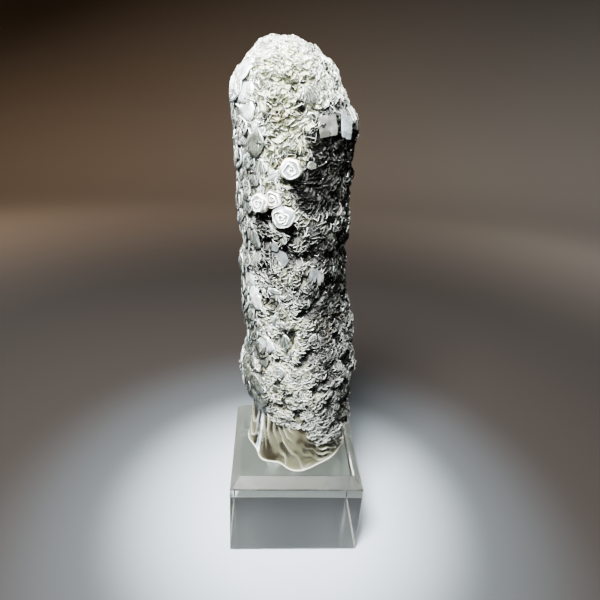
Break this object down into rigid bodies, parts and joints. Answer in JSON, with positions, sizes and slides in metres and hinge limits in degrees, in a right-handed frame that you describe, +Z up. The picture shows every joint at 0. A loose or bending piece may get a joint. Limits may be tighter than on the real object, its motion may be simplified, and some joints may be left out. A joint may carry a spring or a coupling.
{
  "type": "quartz specimen",
  "caption": "Leaning quartz column crusted with thin plate crystals and rosettes, standing on a bevelled clear block.",
  "frame": {"origin": "centre of the acrylic block's underside", "axes": "+Z up the column, -Y towards the front, +X to the right seen from the front"},
  "size_m": [0.0519, 0.05, 0.1824],
  "materials": {
    "crusted_quartz": "white translucent plate crystals over dark grey gaps, glossy banded foot",
    "clear_acrylic": "clear polished acrylic with crisp edges"
  },
  "bodies": {
    "root": {"quartz_column": "crusted_quartz", "acrylic_block": "clear_acrylic"}
  },
  "joints": []
}
